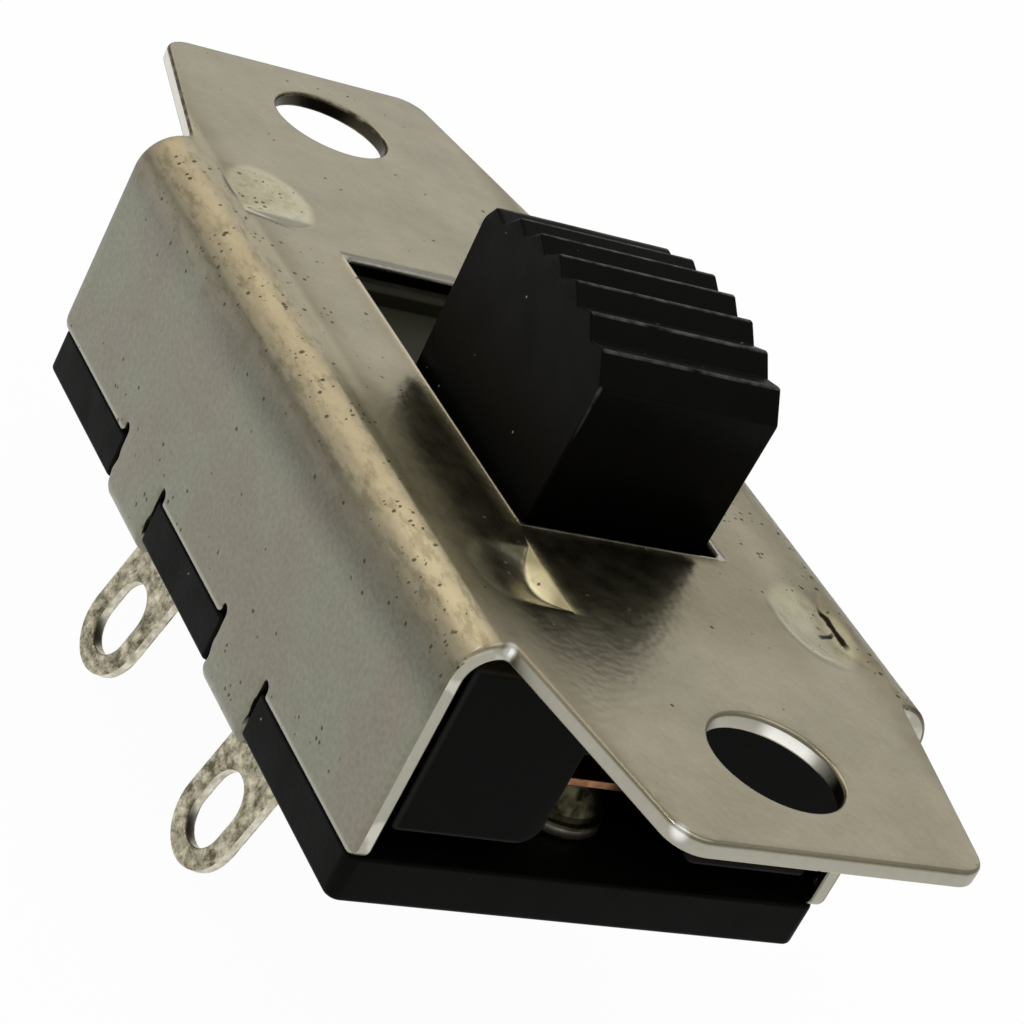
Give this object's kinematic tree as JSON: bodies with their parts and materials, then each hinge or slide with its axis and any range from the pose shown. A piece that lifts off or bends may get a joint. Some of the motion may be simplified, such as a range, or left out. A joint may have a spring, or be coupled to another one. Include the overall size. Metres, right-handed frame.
{
  "type": "panel slide switch",
  "caption": "Panel-mount on/off slide switch: plated steel bracket with screw ears, ridged black knob, moulded base and splayed solder lugs.",
  "frame": {"origin": "middle of the slot on the outer face of the plate, which lies against the panel", "axes": "+X along the switch towards the on end, +Z out through the panel, -Y the side with the solder lugs"},
  "size_m": [0.035, 0.0138, 0.0179],
  "materials": {
    "plated_steel": "dull yellowed plating, fine pits",
    "base_moulding": "black moulding, satin",
    "slider_moulding": "black moulding, satin",
    "copper_strip": "bare copper, slightly tarnished",
    "spring_wire": "drawn wire",
    "tinned_brass": "tarnished tin plating",
    "contact_silver": "silver-plated, dull"
  },
  "bodies": {
    "housing": {"frame": "plated_steel", "base": "base_moulding", "near_terminal": "tinned_brass", "far_terminal": "tinned_brass", "near_contact_rivet": "contact_silver", "far_contact_rivet": "contact_silver"},
    "slider": {"slider": "slider_moulding", "contact_bridge": "copper_strip", "contact_spring": "spring_wire"}
  },
  "joints": [
    {"name": "knob_slide", "type": "slide", "parent": "housing", "child": "slider", "axis": [1, 0, 0], "range_m": [-0.00445, 0]}
  ]
}
